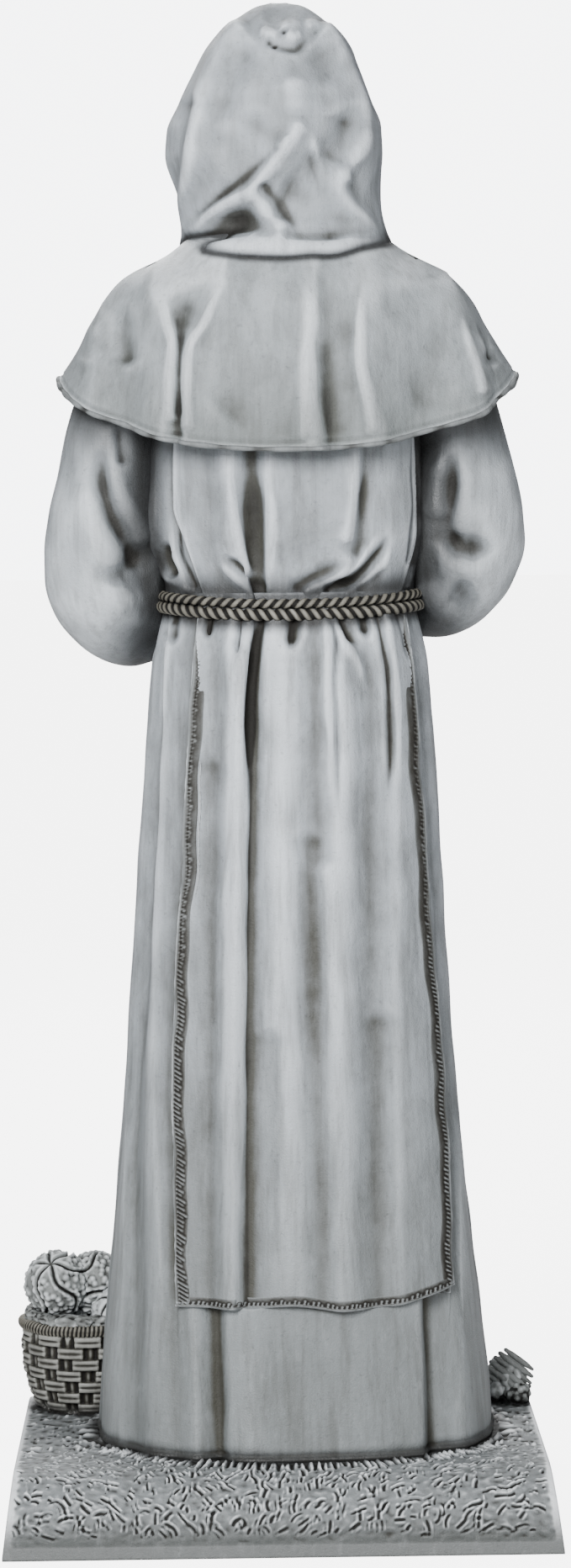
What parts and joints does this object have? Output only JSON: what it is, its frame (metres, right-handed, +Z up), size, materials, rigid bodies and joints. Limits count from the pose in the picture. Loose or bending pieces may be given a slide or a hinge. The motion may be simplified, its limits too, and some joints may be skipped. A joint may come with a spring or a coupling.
{
  "type": "garden statue of a hooded gardener monk",
  "caption": "Standing hooded monk with shoulder cape, rope belt and spade, on a ground slab with a basket of vegetables; a garden statue cast in one piece.",
  "frame": {"origin": "middle of the slab's underside, on the ground", "axes": "+Z up, the figure faces -Y, +X towards the figure's own left, where the basket stands"},
  "size_m": [0.368, 0.31, 1.02],
  "materials": {
    "cast_stone": "pale cool grey cast stone with a brown-grey wash in the recesses and a slight satin on the ridges"
  },
  "bodies": {
    "root": {"saint_fiacre_statue": "cast_stone"}
  },
  "joints": []
}
